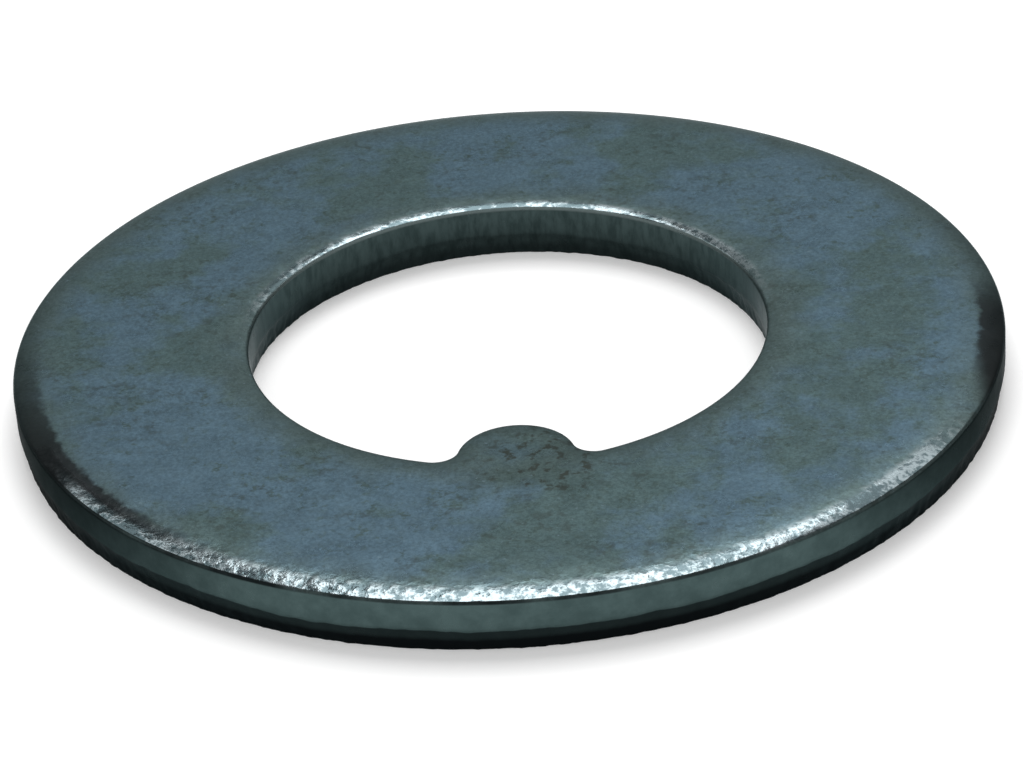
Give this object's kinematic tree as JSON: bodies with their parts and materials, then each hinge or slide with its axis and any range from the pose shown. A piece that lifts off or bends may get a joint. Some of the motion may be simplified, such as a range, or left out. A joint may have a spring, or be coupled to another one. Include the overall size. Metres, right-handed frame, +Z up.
{
  "type": "tab lock washer",
  "caption": "Flat zinc-plated steel ring washer with a half-round internal tab that keys into a slotted spindle and keeps the washer from turning under a nut.",
  "frame": {"origin": "on the bore axis, at the bottom face", "axes": "+Z up along the bore axis towards the rolled-edge top face, the tab points inward from the -Y side, +X to the right seen from the tab side"},
  "size_m": [0.05, 0.05, 0.003],
  "materials": {
    "zinc_plated_steel": "zinc plated, blue passivated, satin with fine stains"
  },
  "bodies": {
    "root": {"washer": "zinc_plated_steel"}
  },
  "joints": []
}
